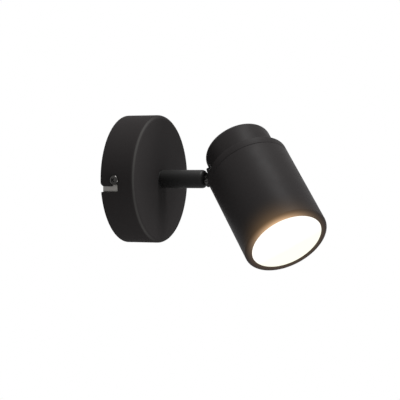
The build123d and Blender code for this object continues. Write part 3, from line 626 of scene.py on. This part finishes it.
def makeHead(coatMaterial, tubeMaterial, lensMaterial):
    size = headSize
    outer = size["radius"]
    inner = outer - size["wall"]
    band = size["band"]
    front = size["length"]
    lipBack = front - size["lip"]
    opening = lensSize["opening"]
    tube = roundedProfile([(inner, band), (outer, band, size["seam"]), (outer, front, size["front"]),
                           (opening, front, size["bevel"]), (opening, lipBack), (inner, lipBack, size["inside"])],
                          steps=10)
    makeTurned("headTube", tube, size["around"], "black_coat", tubeMaterial, "head_body")

    spigotEnd = band + size["spigot"]
    spigotInner = inner - size["wall"]
    cover = roundedProfile([(size["opening"], 0), (outer, 0, size["seam"]), (outer, band, size["seam"]),
                            (inner, band), (inner, spigotEnd), (spigotInner, spigotEnd),
                            (spigotInner, size["plate"]), (size["opening"], size["plate"])], steps=4)
    makeTurned("rearCover", cover, size["around"], "black_coat", coatMaterial, "rear_cover")

    capOuter, capLength = capSize["radius"], capSize["length"]
    capInner = capOuter - capSize["wall"]
    capEnd = capSize["wall"] - capLength
    cap = roundedProfile([(capInner, 0), (capOuter, 0), (capOuter, -capLength, capSize["edge"]), (0, -capLength),
                          (0, capEnd), (capInner, capEnd, capSize["edge"] - capSize["wall"])], steps=12)
    makeTurned("rearCap", cap, size["around"], "black_coat", coatMaterial, "rear_cap")

    lensEdge = lensSize["radius"]
    lensBack = lipBack - lensSize["thickness"]
    lens = [(0, lensBack), (lensEdge, lensBack), (lensEdge, lipBack)]
    lens += domeProfile(opening - lensSize["inset"], lipBack, lensSize["crown"], steps=12)
    makeTurned("lens", lens, lensSize["around"], "lamp_lens", lensMaterial, "lamp_lens")


# The rivets that hold the hinge on the cap.
rivetSize = {"radius": 1.2, "height": 0.8, "shank": 0.8, "seat": 23.5, "angle": 25.0, "back": 5.5, "tail": 3.0,
             "upset": 0.45, "around": 40}


def makeRivets(material):
    size = rivetSize
    head, shank, end = size["radius"], size["shank"], -size["tail"]
    upsetEnd = end + size["upset"]
    outline = [(0, end), (head, end), (head, upsetEnd), (shank, upsetEnd), (shank, 0), (head, 0)]
    outline += domeProfile(head, 0, size["height"], steps=8)[1:]
    shape = newPiece("rivetShape", latheMesh("rivetShape", outline, Matrix.Identity(4), size["around"]))
    pattern = instanceTree("rivetPattern", ["Radius", "Angle", "Level"], aroundPoints)
    piece = growPattern("hingeRivets", pattern, shape, material, headStand, Radius=size["seat"] * mm,
                        Angle=math.radians(size["angle"]), Level=-size["back"] * mm)
    onBody(piece, "head", "dark_nickel", material, "hinge_rivets")


# The hinge's pieces, and what shows from behind, keep the CAD's shape with softened edges:
# node, piece, body, edge in mm and slot.
dressed = (("hinge_bracket", "hingeBracket", "head", 0.12, "hinge_black"),
           ("hinge_tongue", "hingeTongue", "arm", 0.12, "hinge_black"),
           ("pivot_screw", "pivotScrew", "head", 0.08, "dark_nickel"),
           ("wall_bracket", "wallBracket", "wall_base", 0.15, "zinc_steel"),
           ("terminal_block", "terminalBlock", "wall_base", 0.25, "block_plastic"),
           ("earth_screw", "earthScrew", "wall_base", 0.12, "brass_fittings"),
           ("swivel_nut", "swivelNut", "arm", 0.25, "zinc_steel"))
joining = {"distance": 2e-6, "flat": 0.6}


# The CAD's triangles are joined where they meet and where they lie in one plane.
def dressNodes(finishes):
    for node, name, body, edge, slot in dressed:
        form = bmesh.new()
        form.from_mesh(frame["nodes"][node].data)
        bmesh.ops.remove_doubles(form, verts=form.verts, dist=joining["distance"])
        bmesh.ops.dissolve_limit(form, angle_limit=math.radians(joining["flat"]), verts=form.verts,
                                 edges=form.edges)
        mesh = bpy.data.meshes.new(name)
        form.to_mesh(mesh)
        form.free()
        piece = newPiece(name, mesh)
        softEdges(piece, edge)
        onBody(piece, body, slot, finishes[slot], node)


def paintNodes(finishes):
    for row in frame["record"]["subparts"]:
        piece = frame["nodes"][row["node"]]
        piece.data.materials.clear()
        piece.data.materials.append(finishes[row["material_slot"]])


stageLook = {"air": 0.42, "floor": (0.82, 0.82, 0.82, 1), "floorRough": 0.8, "floorPlace": (0, -0.06, -0.36),
             "floorRadius": 650, "floorThick": 2, "floorAround": 128}
lamps = {"topLamp": {"at": (-0.02, -0.18, 0.76), "aim": (0, -0.09, 0), "size": 0.28, "power": 8.0},
         "sideLamp": {"at": (0.85, -0.45, 0.05), "aim": (0, -0.06, 0), "size": 0.6, "power": 0.2},
         "frontLamp": {"at": (-0.3, -1.2, -0.5), "aim": (0, 0, 0), "size": 0.4, "power": 8.0}}


def makeCamera():
    scene = bpy.context.scene
    camera = bpy.data.objects.new("camera", bpy.data.cameras.new("camera"))
    scene.collection.objects.link(camera)
    scene.camera = camera
    camera.data.lens = photo["lens"]
    camera.data.sensor_width = photo["sensor"]
    camera.data.clip_start = photo["clip"]
    azimuth = math.radians(photo["azimuth"])
    elevation = math.radians(photo["elevation"])
    back = Vector((math.sin(azimuth) * math.cos(elevation), -math.cos(azimuth) * math.cos(elevation),
                   math.sin(elevation)))
    camera.location = Vector(photo["target"]) + back * photo["distance"]
    camera.rotation_mode = "QUATERNION"
    camera.rotation_quaternion = (-back).to_track_quat("-Z", "Y")


def makeLamps():
    for name, row in lamps.items():
        lamp = bpy.data.lights.new(name, "AREA")
        lamp.shape = "RECTANGLE"
        lamp.size = lamp.size_y = row["size"]
        lamp.energy = row["power"]
        holder = bpy.data.objects.new(name, lamp)
        bpy.context.scene.collection.objects.link(holder)
        holder.location = row["at"]
        holder.rotation_euler = (Vector(row["aim"]) - Vector(row["at"])).to_track_quat("-Z", "Y").to_euler()


def makeFloor():
    look = stageLook
    rim, under = look["floorRadius"], -look["floorThick"]
    mesh = latheMesh("floor", [(0, under), (rim, under), (rim, 0), (0, 0)],
                     Matrix.Translation(look["floorPlace"]), look["floorAround"])
    floor = newPiece("floor", mesh)
    material, tree, shader = newFinish("paleFloor", look["floor"], look["floorRough"])
    floor.data.materials.append(material)


# White to the camera, in gloss and through glass, and a plain grey light on everything else.
def makeWorld():
    world = bpy.data.worlds.new("studio")
    bpy.context.scene.world = world
    world.use_nodes = True
    tree = world.node_tree
    path = addNode(tree, "ShaderNodeLightPath")
    seen = path.outputs["Is Camera Ray"]
    for other in ("Is Glossy Ray", "Is Transmission Ray"):
        seen = combine(tree, "MAXIMUM", seen, path.outputs[other])
    air = (stageLook["air"],) * 3 + (1,)
    tree.links.new(shadeBetween(tree, seen, air, white), tree.nodes["Background"].inputs["Color"])


finishes = {
    "black_coat": powderCoat("black_coat", coat["head"], coat["headGloss"]),
    "hinge_black": plasticFinish("hinge_black", linearOf(30, 29, 29), 0.34, specular=0.08),
    "dark_nickel": metalFinish("dark_nickel", linearOf(48, 47, 46), linearOf(63, 62, 61), 0.22),
    "zinc_steel": metalFinish("zinc_steel", linearOf(114, 112, 109), linearOf(126, 124, 121), 0.38,
                              stretch=(1, 1, 6)),
    "brass_fittings": metalFinish("brass_fittings", linearOf(196, 160, 92), linearOf(214, 182, 112), 0.3),
    "tinned_copper": metalFinish("tinned_copper", linearOf(190, 186, 178), linearOf(206, 202, 196), 0.32),
    "black_fibre": plasticFinish("black_fibre", linearOf(24, 24, 24), 0.8),
    "black_nylon": plasticFinish("black_nylon", linearOf(32, 32, 32), 0.5),
    "block_plastic": plasticFinish("block_plastic", linearOf(232, 231, 226), 0.42),
    "brown_insulation": plasticFinish("brown_insulation", linearOf(98, 58, 36), 0.45),
    "blue_insulation": plasticFinish("blue_insulation", linearOf(44, 92, 158), 0.45),
    "earth_insulation": plasticFinish("earth_insulation", linearOf(118, 152, 46), 0.45),
    "lead_insulation": plasticFinish("lead_insulation", linearOf(214, 210, 200), 0.45),
    "lamp_body": plasticFinish("lamp_body", linearOf(234, 233, 228), 0.4),
    "lamp_lens": litLens("lamp_lens"),
    "lamp_pins": metalFinish("lamp_pins", linearOf(186, 182, 172), linearOf(204, 200, 190), 0.28),
    "holder_ceramic": plasticFinish("holder_ceramic", linearOf(230, 226, 216), 0.6),
}
print("finishes made")
paintNodes(finishes)
bpy.context.scene.view_settings.view_transform = "Standard"
makeCamera()
makeLamps()
makeFloor()
makeWorld()
print("stage set")
# The canopy's coat, painted lighter than the head's, with a painted lighter face and a painted highlight line.
makeCanopy(powderCoat("black_coat_plate_painted_light", coat["plate"], coat["plateGloss"], over=canopyPaintedLight))
makeSideScrews(finishes["dark_nickel"])
print("canopy made")
makeArm(powderCoat("black_coat_arm", coat["arm"], coat["armGloss"]))
makeHead(finishes["black_coat"], powderCoat("black_coat_tube_painted_glow", coat["head"], coat["headGloss"], glow=glowOnTube),
         finishes["lamp_lens"])
print("arm and head made")
makeRivets(finishes["dark_nickel"])
dressNodes(finishes)
print("hinge and inside made")
